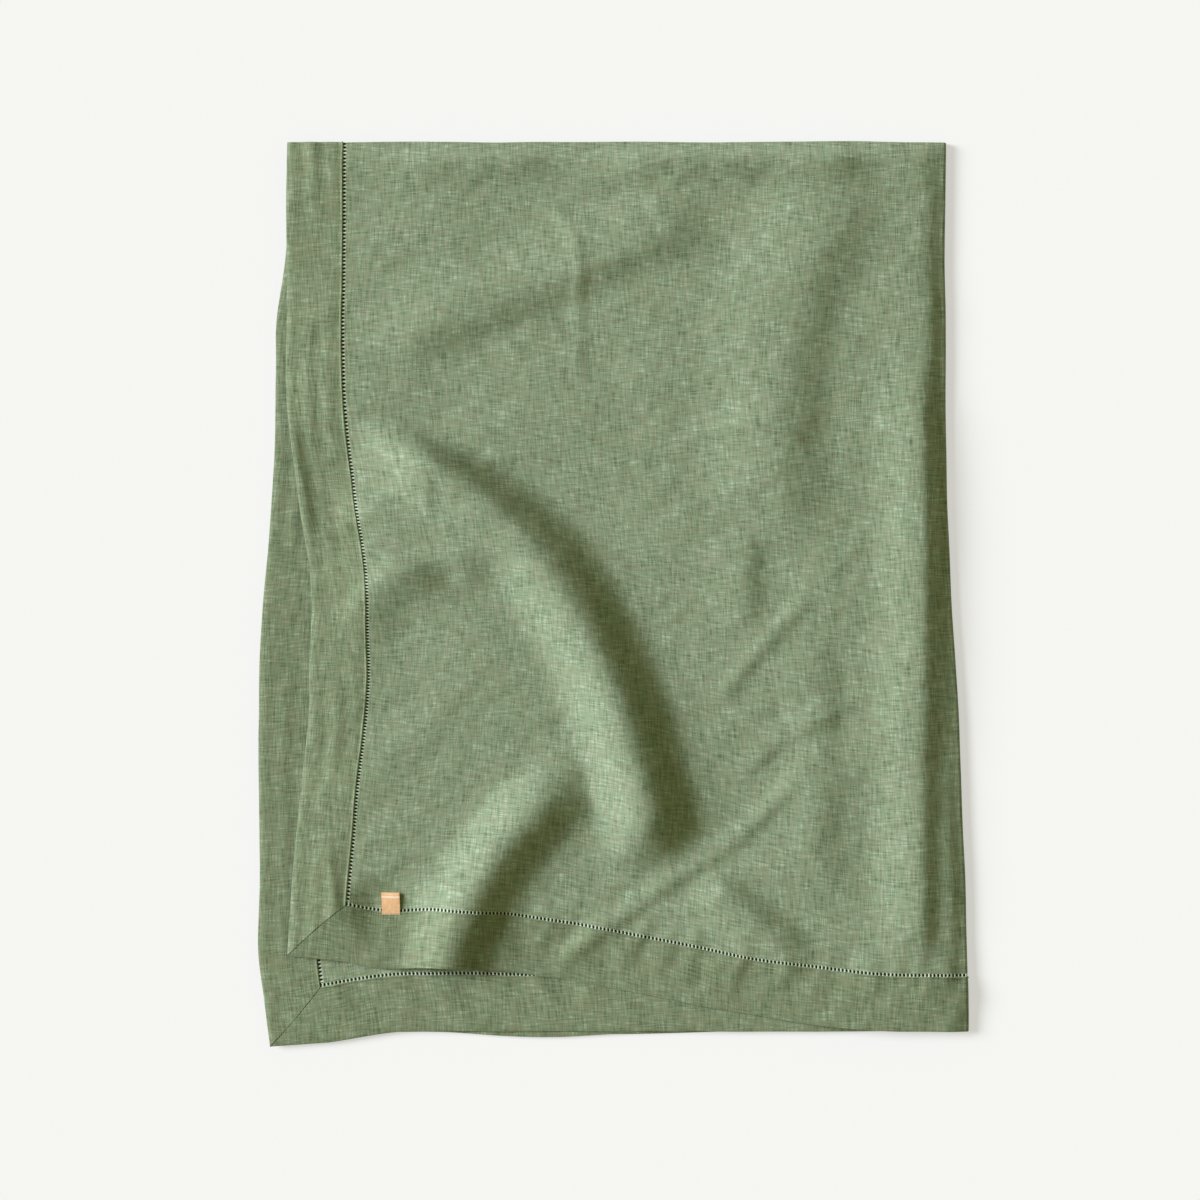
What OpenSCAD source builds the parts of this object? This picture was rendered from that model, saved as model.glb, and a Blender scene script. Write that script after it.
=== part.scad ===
// Linen tablecloth with doubled, mitred borders, hemstitched all round, folded in quarters.
//
// Every piece of cloth is laid out flat first: u runs across the open cloth, v along it, and
// the label sits in the corner where both are lowest. fold_up() then turns the far half under
// along v = 0 and the right half under along u = 0, and settle() adds how the layers have
// slipped and rucked since. The origin is the middle of the packet's footprint, on the surface
// that it lies on: +X towards the second fold, +Y towards the first fold, +Z up.

/* [Cloth] */
// Width of the open cloth
cloth_w = 1400; // [1000:10:1800]
// Length of the open cloth
cloth_l = 1800; // [1200:10:2400]
// Thickness of the linen
linen_t = 0.6; // [0.4:0.05:0.8]

/* [Border] */
// Width of the doubled border, from its outer edge to the hemstitch
border_w = 57; // [30:1:90]
// Thickness of the doubled border
border_t = 1.4; // [1:0.05:1.8]
// Width of the drawn-thread ladder between the panel and the border
ladder_w = 3; // [2:0.5:5]
// Thickness of the ladder's wrapped bars
ladder_t = 0.6; // [0.4:0.05:0.8]
// Width of the seam that closes each mitre
seam_w = 0.8; // [0.4:0.1:1.5]

/* [Folding] */
// Clear height between one layer's border and the next
layer_gap = 0.6; // [0.4:0.1:2]

/* [Settling] */
// How far the top layer's label corner has crept towards the first fold
corner_creep = 72; // [0:1:90]
// How far the top layer's open side has drawn in at its middle
side_draw = 25; // [0:1:35]
// How far the top layer's near edge dips under the label
label_dip = 5; // [0:0.5:8]
// How far the second layer's corner sags past the others
corner_sag = 16; // [0:1:20]
// Height of the long ruck across the top layer
long_ruck_h = 28; // [0:1:36]
// Height of the short ruck that runs out through the near border
short_ruck_h = 24; // [0:1:36]
// Height of the soft swelling beside the open side
swelling_h = 7; // [0:1:12]

/* [Label] */
// Width of the label's tape
tape_w = 18.5; // [12:0.5:30]
// Length of the folded label past its seam
flap_l = 20; // [12:0.5:40]
// Thickness of the label's tape
tape_t = 0.35; // [0.2:0.05:0.5]
// Space inside the label's folded loop
loop_gap = 0.2; // [0.1:0.1:0.5]
// Distance of the label's middle from the outer edge of the open side
label_inset = 101.5; // [80:0.5:200]
// Length of the label's sewn end
sewn_l = 2.4; // [1.5:0.1:4]
// Number of stitches that hold the label
stitch_count = 7; // [4:1:12]
// Thickness of the sewing thread
thread_d = 0.35; // [0.2:0.05:0.5]
// How far the label's sewn end stands off the border
tape_lift = 0.1; // [0.05:0.05:0.3]
// Clearance round the label's flap
flap_clear = 0.3; // [0.2:0.05:0.5]

/* [Hidden] */

linen_colour = [0.56, 0.65, 0.51];
border_colour = [0.52, 0.61, 0.47];
thread_colour = [0.36, 0.42, 0.30];
tape_colour = [0.90, 0.81, 0.66];

// Half sizes of the open cloth, and of the folded packet
half_w = cloth_w / 2;
half_l = cloth_l / 2;
pack_w = cloth_w / 4;
pack_l = cloth_l / 4;

// Where the border and the panel end, in flat coordinates
border_u = half_w - border_w;
border_v = half_l - border_w;
panel_u = border_u - ladder_w;
panel_v = border_v - ladder_w;
seam_cut = seam_w / sqrt(2);

// The lower layers rest on the surface, so their thick borders sit a little higher
border_seat = (border_t - linen_t) / 2;
layer_pitch = border_t + layer_gap;
first_r = layer_pitch / 2;
second_r = layer_pitch + border_seat / 2;
first_turn = 90 * PI / 180 * first_r;
second_turn = 90 * PI / 180 * second_r;
fold_x = pack_w - second_r - first_r - border_t / 2;
fold_z = linen_t / 2 + second_r + first_r;

// How the folded edges have slipped from a true rectangle
far_shift = 6.5;
right_shift_far = -13;
right_shift_near = 9;
left_shift = 19.5;
lower_left_step = -12;
lower_left_drift = -16;
lower_left_return = 11;
lower_tuck = 3;
near_shift = 5;
side_step = 10;
third_peep = 6;
fourth_peep = 3;

// Where each slip begins or peaks, and over what share of the way it grows or fades: down the
// packet from the first fold (0) to the near edge (1), or across it from the open side (0) to
// the second fold (1)
draw_at = 0.57;
draw_reach = [0.32, 0.5];
step_down = [0.1, 0.12];
drift_down = [0.3, 0.3];
return_down = [0.88, 0.12];
fold_drift_down = [0.25, 0.7];
near_slip_down = [0.3, 0.62];
fold_side_across = [0.09, 0.82];
creep_across = [0.92, 0.73];
side_step_across = [0.2, 0.2];
sag_across = [0.21, 0.21];
dip_across = [0.13, 0.09];
third_peep_across = [0.38, 0.22];
fourth_peep_across = [0.45, 0.3];
footprint_y = (border_t / 2 + far_shift + near_shift - corner_sag + first_turn - first_r) / 2;

// Lines of the two rucks, as shares of the packet's half sizes, from start to end
long_ruck = [[-0.69, 0.39], [-0.16, 0.19], [-0.07, -0.11], [0.21, -0.62]];
long_ruck_foot = [80, 42];
short_ruck = [[-0.01, -0.41], [-0.27, -0.47], [-0.42, -0.65], [-0.53, -0.92]];
short_ruck_foot = [44, 46];
swelling_at = [-0.66, 0.07];
swelling_r = [70, 48];
ruck_steps = 10;

// Shares of each ruck's line over which it rises to its full height, and after which it fades
long_ruck_ends = [0.35, 0.92];
short_ruck_ends = [0.3, 1];

// Grid of the cloth: close lines over the top layer, open ones over the lower layers
top_cells_u = 26;
top_cells_v = 34;
low_cells = 8;
turn_cells = 6;
border_cells = 3;

function clamp01(t) = min(1, max(0, t));
function ease(t) = let (s = clamp01(t)) s * s * (3 - 2 * s);
function swell(t) = abs(t) < 1 ? (1 + cos(180 * t)) / 2 : 0;
function grow(t, way) = ease((t - way[0]) / way[1]);
function fade(t, way) = ease((way[0] - t) / way[1]);
function hump(t, way) = swell((t - way[0]) / way[1]);
function blend(a, b, t) = a + (b - a) * t;
function pick(list, under_v, under_u) =
    blend(blend(list[0], list[1], under_v), blend(list[3], list[2], under_v), under_u);

// Share of the way from the upper to the lower leaf of each fold
function under_u(u) = ease((u + second_turn) / (2 * second_turn));
function under_v(v) = ease((v + first_turn) / (2 * first_turn));

// A flat point after the first fold: [distance along Y, height above the pair's middle]
function first_fold(v, w) =
    v < -first_turn ? [v + first_turn, first_r + w]
    : v > first_turn ? [first_turn - v, -first_r - w]
    : let (a = v / first_r * 180 / PI) [(first_r + w) * cos(a), -(first_r + w) * sin(a)];

// The same after the second fold: [distance along X, height above the packet's middle]
function second_fold(u, h) =
    u < -second_turn ? [u + second_turn, second_r + h]
    : u > second_turn ? [second_turn - u, -second_r - h]
    : let (a = u / second_r * 180 / PI) [(second_r + h) * cos(a), -(second_r + h) * sin(a)];

function fold_up(u, v, w) =
    let (one = first_fold(v, w), two = second_fold(u, one[1]))
    [fold_x + two[0], pack_l - first_r - footprint_y + one[0], fold_z + two[1]];

// Sideways slip of each layer, from the open side (across = 0) to the second fold (across = 1)
function side_slip(down, across, lo_v, lo_u) =
    let (drawn = side_draw * hump(down, [draw_at, draw_reach[down < draw_at ? 0 : 1]]),
         tucked = lower_side(down) + lower_tuck,
         open_side = [left_shift + drawn, lower_side(down), tucked, tucked],
         fold_side = blend(right_shift_far, right_shift_near, grow(down, fold_drift_down)))
    blend(pick(open_side, lo_v, lo_u), fold_side, grow(across, fold_side_across));
function lower_side(down) = left_shift + lower_left_step * grow(down, step_down)
    + lower_left_drift * grow(down, drift_down) + lower_left_return * grow(down, return_down);

// Lengthways slip of each layer, from the first fold (down = 0) to the near edge (down = 1)
function end_slip(down, across, lo_v, lo_u) =
    let (near_side = [near_shift + (corner_creep - side_step / 2) * fade(across, creep_across)
                          + side_step * fade(across, side_step_across)
                          - label_dip * hump(across, dip_across),
                      near_shift - corner_sag * fade(across, sag_across),
                      near_shift - third_peep * hump(across, third_peep_across),
                      near_shift - fourth_peep * hump(across, fourth_peep_across)])
    blend(far_shift, pick(near_side, lo_v, lo_u), grow(down, near_slip_down));

// Point on a ruck's line, and the nearest part of that line to a place
function on_curve(c, t) = let (s = 1 - t)
    s * s * s * c[0] + 3 * s * s * t * c[1] + 3 * s * t * t * c[2] + t * t * t * c[3];
function on_ruck(c, t) = let (p = on_curve(c, t)) [p[0] * pack_w, p[1] * pack_l];
function to_ruck(p, c) =
    let (found = [for (i = [0 : ruck_steps - 1])
             let (a = on_ruck(c, i / ruck_steps), b = on_ruck(c, (i + 1) / ruck_steps),
                  d = b - a, s = clamp01(((p - a) * d) / (d * d)), off = p - a - s * d)
             [norm(off), (i + s) / ruck_steps, cross(d, off)]],
         least = min([for (f = found) f[0]]))
    [for (f = found) if (f[0] == least) f][0];

// Height of a ruck at a place: a gentle flank on one side and a steep one on the other
function ruck(p, c, rise, foot, ends) =
    let (n = to_ruck(p, c), reach = n[2] > 0 ? foot[1] : foot[0],
         dying = grow(n[1], [ends[1], 1.001 - ends[1]]))
    rise * swell(n[0] / reach) * ease(n[1] / ends[0]) * (1 - dying);
function swelling(p) =
    swelling_h * swell(norm([(p[0] / pack_w - swelling_at[0]) * pack_w / swelling_r[0],
                             (p[1] / pack_l - swelling_at[1]) * pack_l / swelling_r[1]]));
function relief(p) =
    let (a = ruck(p, long_ruck, long_ruck_h, long_ruck_foot, long_ruck_ends),
         b = ruck(p, short_ruck, short_ruck_h, short_ruck_foot, short_ruck_ends), c = swelling(p))
    sqrt(a * a + b * b + c * c);

// How far a flat point has moved from where a perfect fold would put it
function settle(u, v) =
    let (at = fold_up(u, v, 0), lo_u = under_u(u), lo_v = under_v(v),
         across = clamp01(at[0] / cloth_w * 2 + 0.5), down = clamp01(0.5 - at[1] / cloth_l * 2),
         dx = side_slip(down, across, lo_v, lo_u), dy = end_slip(down, across, lo_v, lo_u),
         on_top = (1 - lo_v) * (1 - lo_u))
    [dx, dy, on_top == 0 ? 0 : on_top * relief([at[0] + dx, at[1] + dy])];

// The place of a flat point on the upper (side = 1) or lower (side = -1) face of a cloth piece
function place(p, side, t) =
    fold_up(p[0], p[1], side * t / 2) + settle(p[0], p[1])
    + [0, 0, under_u(p[0]) * (t - linen_t) / 2];

// Grid lines across and along the cloth, between the edges of the panel
function cloth_lines(edge, turn, top_cells) = concat(
    [for (i = [0 : top_cells - 1]) blend(-edge, -turn, i / top_cells)],
    [for (i = [0 : turn_cells - 1]) blend(-turn, turn, i / turn_cells)],
    [for (i = [0 : low_cells]) blend(turn, edge, i / low_cells)]);
panel_lines_u = cloth_lines(panel_u, second_turn, top_cells_u);
panel_lines_v = cloth_lines(panel_v, first_turn, top_cells_v);
row_lines_u = concat([seam_cut - border_u], panel_lines_u, [border_u - seam_cut]);

// Lines across a border that lies on the low (-1) or high (1) side of the cloth
function border_lines(inner, sign) =
    let (list = [for (i = [0 : border_cells]) blend(inner, inner + border_w, i / border_cells)])
    sign > 0 ? list : [for (i = [border_cells : -1 : 0]) -list[i]];

// Where a mitred end lies, for a line that is `out` from the outer edge
function mitre_end(half, out) = half - seam_cut - out;

// One piece of cloth of thickness t over a grid of flat points
module cloth_piece(grid, t) {
    n = len(grid);
    m = len(grid[0]);
    top = [for (row = grid) for (p = row) place(p, 1, t)];
    under = [for (row = grid) for (p = row) place(p, -1, t)];
    k = n * m;
    polyhedron(points = concat(top, under), faces = concat(
        [for (i = [0 : n - 2]) for (j = [0 : m - 2]) let (a = i * m + j) each
            [[a, a + 1, a + m + 1], [a, a + m + 1, a + m],
             [k + a, k + a + m + 1, k + a + 1], [k + a, k + a + m, k + a + m + 1]]],
        [for (i = [0 : n - 2]) let (a = i * m, b = i * m + m - 1) each
            [[a, a + m, k + a + m], [a, k + a + m, k + a],
             [b, k + b, k + b + m], [b, k + b + m, b + m]]],
        [for (j = [0 : m - 2]) let (a = j, b = (n - 1) * m + j) each
            [[a, k + a, k + a + 1], [a, k + a + 1, a + 1],
             [b, b + 1, k + b + 1], [b, k + b + 1, k + b]]]), convexity = 10);
}

function grid_of(us, vs) = [for (u = us) [for (v = vs) [u, v]]];

module linen_panel() {
    color(linen_colour) cloth_piece(grid_of(panel_lines_u, panel_lines_v), linen_t);
}

// A border that runs across the cloth, with both its ends mitred
module cross_border(sign) {
    vs = border_lines(border_v, sign);
    last = len(panel_lines_u) + 1;
    us = concat([0], panel_lines_u, [0]);
    color(border_colour) cloth_piece([for (i = [0 : last]) [for (v = vs)
        [i == 0 ? -mitre_end(half_w, half_l - abs(v))
         : i == last ? mitre_end(half_w, half_l - abs(v)) : us[i], v]]], border_t);
}

// A border that runs along the cloth, with both its ends mitred
module side_border(sign) {
    us = border_lines(border_u, sign);
    last = len(panel_lines_v) + 1;
    vs = concat([0], panel_lines_v, [0]);
    color(border_colour) cloth_piece([for (u = us) [for (i = [0 : last])
        [u, i == 0 ? -mitre_end(half_l, half_w - abs(u))
            : i == last ? mitre_end(half_l, half_w - abs(u)) : vs[i]]]], border_t);
}

module border_near() cross_border(-1);
module border_far() cross_border(1);
module border_left() side_border(-1);
module border_right() side_border(1);

// A row of hemstitched bars across or along the cloth, as the thin band that they fill
module cross_hemstitch(sign) {
    vs = sign > 0 ? [panel_v, border_v] : [-border_v, -panel_v];
    color(thread_colour) cloth_piece(grid_of(row_lines_u, vs), ladder_t);
}
module side_hemstitch(sign) {
    us = sign > 0 ? [panel_u, border_u] : [-border_u, -panel_u];
    color(thread_colour) cloth_piece(grid_of(us, panel_lines_v), ladder_t);
}

module hemstitch_near() cross_hemstitch(-1);
module hemstitch_far() cross_hemstitch(1);
module hemstitch_left() side_hemstitch(-1);
module hemstitch_right() side_hemstitch(1);

// The seam of one mitre fills the gap between two borders' ends; su and sv pick the corner
module mitre(su, sv) {
    outs = [for (i = [0 : border_cells]) border_w * (1 - i / border_cells)];
    cross_end = [for (o = outs) [su * mitre_end(half_w, o), sv * (half_l - o)]];
    side_end = [for (o = outs) [su * (half_w - o), sv * mitre_end(half_l, o)]];
    turned = su * sv > 0;
    color(thread_colour) cloth_piece([for (i = [0 : border_cells])
        turned ? [side_end[i], cross_end[i]] : [cross_end[i], side_end[i]]], border_t);
}

module mitre_near_left() mitre(-1, -1);
module mitre_near_right() mitre(1, -1);
module mitre_far_left() mitre(-1, 1);
module mitre_far_right() mitre(1, 1);

// The label's seam: on the top layer, at the inner edge of the near border
label_at = place([label_inset - half_w, -border_v], 1, border_t) + [0, 0, tape_lift];
// The flap turns about a line along X at label_at, (sewn_t + loop_t) / 2 above its own underside,
// so that it clears the sewn end when it is flipped over
loop_t = 2 * tape_t + loop_gap;
sewn_t = 2 * tape_t;
flap_z = label_at[2] + flap_clear;
straight_l = flap_l - flap_clear - loop_t / 2;
cut_past = 1;

module along_label(length) {
    translate([label_at[0] - length / 2, label_at[1], 0]) rotate([90, 0, 90])
        linear_extrude(length) children();
}

// The free part of the tape: doubled back on itself, with a round fold at its far end
module label_flap() {
    color(tape_colour) along_label(tape_w) translate([flap_clear, flap_z]) difference() {
        union() {
            square([straight_l, loop_t]);
            translate([straight_l, loop_t / 2]) circle(d = loop_t, $fn = 32);
        }
        translate([-cut_past, tape_t]) square([straight_l + cut_past, loop_gap]);
    }
}

// The two raw ends of the tape, pressed together under the stitches on the border's edge
module label_sewn_end() {
    color(tape_colour) along_label(tape_w) translate([-sewn_l, label_at[2]]) square([sewn_l, sewn_t]);
}

// Short stitches of sewing thread over the sewn end, each this share of its pitch long
stitch_share = 0.7;
module label_stitches() {
    pitch = tape_w / stitch_count;
    stitch_l = pitch * stitch_share;
    color(thread_colour) for (i = [0 : stitch_count - 1])
        translate([label_at[0] - tape_w / 2 + (i + 0.5) * pitch - stitch_l / 2,
                   label_at[1] - sewn_l / 2 - thread_d / 2, label_at[2] + sewn_t])
            cube([stitch_l, thread_d, thread_d / 2]);
}

linen_panel();
border_near();
border_far();
border_left();
border_right();
hemstitch_near();
hemstitch_far();
hemstitch_left();
hemstitch_right();
mitre_near_left();
mitre_near_right();
mitre_far_left();
mitre_far_right();
label_sewn_end();
label_flap();
label_stitches();
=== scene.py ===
"""A washed linen tablecloth, folded in quarters and lying flat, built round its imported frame."""
import math

import bpy
import numpy as np
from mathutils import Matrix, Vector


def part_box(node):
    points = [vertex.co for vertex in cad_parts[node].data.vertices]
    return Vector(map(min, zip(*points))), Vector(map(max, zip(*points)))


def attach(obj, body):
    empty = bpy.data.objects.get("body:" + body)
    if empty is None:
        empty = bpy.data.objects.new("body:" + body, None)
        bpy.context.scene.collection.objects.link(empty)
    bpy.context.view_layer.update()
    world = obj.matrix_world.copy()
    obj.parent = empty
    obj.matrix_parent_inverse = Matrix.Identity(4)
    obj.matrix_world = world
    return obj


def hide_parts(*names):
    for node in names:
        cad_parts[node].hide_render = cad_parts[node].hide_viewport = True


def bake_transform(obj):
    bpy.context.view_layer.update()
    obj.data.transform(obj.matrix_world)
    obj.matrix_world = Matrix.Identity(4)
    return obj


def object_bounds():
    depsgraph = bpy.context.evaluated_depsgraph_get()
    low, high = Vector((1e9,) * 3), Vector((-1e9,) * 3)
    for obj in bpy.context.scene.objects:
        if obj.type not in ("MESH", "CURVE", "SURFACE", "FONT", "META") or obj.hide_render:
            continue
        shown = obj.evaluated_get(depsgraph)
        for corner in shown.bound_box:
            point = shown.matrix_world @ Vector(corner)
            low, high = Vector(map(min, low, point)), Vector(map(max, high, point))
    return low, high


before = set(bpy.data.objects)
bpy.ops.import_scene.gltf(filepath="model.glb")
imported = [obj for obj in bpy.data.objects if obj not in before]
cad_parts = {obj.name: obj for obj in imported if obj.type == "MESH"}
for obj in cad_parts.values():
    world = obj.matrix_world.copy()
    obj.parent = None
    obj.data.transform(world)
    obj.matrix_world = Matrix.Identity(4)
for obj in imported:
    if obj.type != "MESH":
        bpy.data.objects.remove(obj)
cad_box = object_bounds()

# ---------------------------------------------------------------------------------------------
# Camera: a long lens straight above the packet, as flat textiles are looked at. The packet
# sits a little right of the middle of the view and a little above it.
view_width = 1.218
right_of_middle, above_middle = 0.0137, 0.0055
camera_height = 3.6
sensor = 0.036
packet_middle = (cad_box[0] + cad_box[1]) / 2
bpy.ops.object.camera_add(
    location=(packet_middle.x - right_of_middle, packet_middle.y - above_middle, camera_height),
    rotation=(0, 0, 0),
)
camera = bpy.context.object
camera.name = "camera"
camera.data.sensor_width = sensor * 1000
camera.data.lens = sensor * 1000 * camera_height / view_width
bpy.context.scene.camera = camera

# ---------------------------------------------------------------------------------------------
# Floor and light: a plain near-white table of no kind in particular, lit a little from within
# so that shadows on it stay faint. One broad light comes low from the open side, turned a
# little towards the first fold, and a warm even light comes from all round.
floor_side, floor_drop = 60, 0.0007
bpy.ops.mesh.primitive_plane_add(size=floor_side, location=(0, 0, -floor_drop))
floor = bpy.context.object
floor.name = "floor"
floor_finish = bpy.data.materials.new("pale_floor")
floor_finish.use_nodes = True
floor_shader = floor_finish.node_tree.nodes["Principled BSDF"]
floor_shader.inputs["Base Color"].default_value = (0.40, 0.40, 0.395, 1)
floor_shader.inputs["Roughness"].default_value = 1.0
floor_shader.inputs["Specular IOR Level"].default_value = 0.0
floor_shader.inputs["Emission Color"].default_value = (1.0, 1.0, 1.0, 1)
floor_shader.inputs["Emission Strength"].default_value = 0.51
floor.data.materials.append(floor_finish)

key_height, key_bearing = 27, 166
bpy.ops.object.light_add(type="SUN", rotation=(
    0, math.radians(90 - key_height), math.radians(key_bearing)))
key = bpy.context.object
key.name = "key_light"
key.data.energy = 5.85
key.data.angle = math.radians(26)
key.data.color = (0.875, 0.89, 1.0)
bpy.context.scene.world = bpy.data.worlds.new("room")
bpy.context.scene.world.use_nodes = True
room = bpy.context.scene.world.node_tree.nodes["Background"]
room.inputs["Color"].default_value = (1.0, 0.94, 0.45, 1)
room.inputs["Strength"].default_value = 0.28
bpy.context.scene.view_settings.view_transform = "Standard"

# ---------------------------------------------------------------------------------------------
# Linen panel: one length of plain-woven flax, its weft drawn out in a narrow band all round.
# The far half is folded under first and the right half under that, so four layers lie one on
# the other. The label corner has crept towards the first fold and thrown up two rucks.
cloth_w, cloth_l = 1.4, 1.8
linen_t, border_t = 0.0006, 0.0014
border_w, ladder_w = 0.057, 0.003
half_w, half_l = cloth_w / 2, cloth_l / 2
pack_w, pack_l = cloth_w / 4, cloth_l / 4
border_u, border_v = half_w - border_w, half_l - border_w
panel_u, panel_v = border_u - ladder_w, border_v - ladder_w
layer_gap = 0.0006
border_seat = (border_t - linen_t) / 2
layer_pitch = border_t + layer_gap
first_r, second_r = layer_pitch / 2, layer_pitch + border_seat / 2
first_turn, second_turn = math.pi / 2 * first_r, math.pi / 2 * second_r
far_shift, near_shift, left_shift = 0.0065, 0.005, 0.0195
right_shift_far, right_shift_near = -0.013, 0.009
corner_sag = 0.016
footprint_y = (border_t / 2 + far_shift + near_shift - corner_sag + first_turn - first_r) / 2
fold_x = pack_w - second_r - first_r - border_t / 2
fold_z = linen_t / 2 + second_r + first_r
label_low, label_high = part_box("label_sewn_end")
label_x, label_y = (label_low.x + label_high.x) / 2, label_high.y


def ease(t):
    s = np.clip(t, 0, 1)
    return s * s * (3 - 2 * s)


def swell(t):
    return (1 + np.cos(np.pi * np.clip(t, -1, 1))) / 2


def mix(a, b, t):
    return a + (b - a) * t


def by_layer(values, under_v, under_u):
    """One value for each layer from the top down, blended where the cloth turns over."""
    return mix(mix(values[0], values[1], under_v), mix(values[3], values[2], under_v), under_u)


def fold_up(u, v, w):
    """Where a perfect fold puts flat points: u across, v along, w through the cloth."""
    a = np.clip(v / first_r, -np.pi / 2, np.pi / 2)
    y = (first_r + w) * np.cos(a) + np.minimum(v + first_turn, 0) - np.maximum(v - first_turn, 0)
    h = -(first_r + w) * np.sin(a)
    b = np.clip(u / second_r, -np.pi / 2, np.pi / 2)
    x = (second_r + h) * np.cos(b) + np.minimum(u + second_turn, 0) - np.maximum(u - second_turn, 0)
    z = -(second_r + h) * np.sin(b)
    return fold_x + x, pack_l - first_r - footprint_y + y, fold_z + z


# How each layer has slipped since it was folded: by how much, and over which stretch of the
# packet, as (start, length) or (middle, reach) in shares of its length down from the first
# fold or of its width across from the open side. A negative length runs back to the open side.
side_draw, draw_at, draw_reach = 0.025, 0.57, (0.32, 0.5)
left_step, left_step_down = -0.012, (0.10, 0.12)
left_drift, left_drift_down = -0.016, (0.30, 0.30)
left_return, left_return_down = 0.011, (0.88, 0.12)
lower_tuck = 0.003
fold_drift_down, near_slip_down, fold_side_across = (0.25, 0.70), (0.30, 0.62), (0.09, 0.82)
corner_creep, creep_across = 0.067, (0.92, -0.73)
side_step, side_step_across = 0.010, (0.20, -0.20)
label_dip, dip_across = 0.005, (0.13, 0.09)
sag_across = (0.21, -0.21)
third_peep, third_peep_across = 0.006, (0.38, 0.22)
fourth_peep, fourth_peep_across = 0.003, (0.45, 0.30)


def grow(share, stretch):
    """From 0 where the stretch starts to 1 where it ends."""
    start, length = stretch
    return ease((share - start) / length)


def hump(share, middle, reach):
    """1 in the middle, falling away to 0 at `reach` on either side of it."""
    return swell((share - middle) / reach)


def top_side(down):
    """Sideways slip of the top layer's open edge, from the first fold (0) to the near edge (1)."""
    return left_shift + side_draw * hump(down, draw_at, np.where(down < draw_at, *draw_reach))


def lower_side(down):
    """The same for the open edge of the layers under it."""
    return (left_shift + left_step * grow(down, left_step_down)
            + left_drift * grow(down, left_drift_down) + left_return * grow(down, left_return_down))


def slip(x, y, under_v, under_u):
    """How far each layer has slipped along the surface since it was folded."""
    across = np.clip(x / cloth_w * 2 + 0.5, 0, 1)
    down = np.clip(0.5 - y / cloth_l * 2, 0, 1)
    low = lower_side(down)
    open_side = by_layer([top_side(down), low, low + lower_tuck, low + lower_tuck], under_v, under_u)
    fold_side = mix(right_shift_far, right_shift_near, grow(down, fold_drift_down))
    crept = (near_shift + corner_creep * grow(across, creep_across)
             + side_step * grow(across, side_step_across) - label_dip * hump(across, *dip_across))
    near_side = by_layer(
        [crept, near_shift - corner_sag * grow(across, sag_across),
         near_shift - third_peep * hump(across, *third_peep_across),
         near_shift - fourth_peep * hump(across, *fourth_peep_across)], under_v, under_u)
    return (mix(open_side, fold_side, grow(across, fold_side_across)),
            mix(far_shift, near_side, grow(down, near_slip_down)))


def ruck(x, y, line, rise, left, right, start, finish, narrow=1.0):
    """A fold in the top layer along a curve of four points. Its height falls away over `left`
    and `right` metres on either side, and rises and dies out along its length. The left side
    begins at the share `narrow` of its reach and widens towards the middle."""
    t = np.linspace(0, 1, 25)[:, None]
    c = np.array(line)
    way = ((1 - t) ** 3 * c[0] + 3 * (1 - t) ** 2 * t * c[1] + 3 * (1 - t) * t * t * c[2]
           + t ** 3 * c[3])
    best = np.full(x.shape, 1e9)
    part = np.zeros(x.shape)
    side = np.zeros(x.shape)
    for i in range(len(way) - 1):
        ax, ay = way[i]
        dx, dy = way[i + 1] - way[i]
        s = np.clip(((x - ax) * dx + (y - ay) * dy) / (dx * dx + dy * dy), 0, 1)
        ox, oy = x - ax - s * dx, y - ay - s * dy
        off = np.hypot(ox, oy)
        near = off < best
        best = np.where(near, off, best)
        part = np.where(near, (i + s) / (len(way) - 1), part)
        side = np.where(near, dx * oy - dy * ox, side)
    foot = np.where(side > 0, left * mix(narrow, 1, ease(part / 0.5)), right)
    ends = ease(part / start) * (1 - ease((part - finish) / (1.001 - finish)))
    return rise * swell(best / foot) * ends


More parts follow.
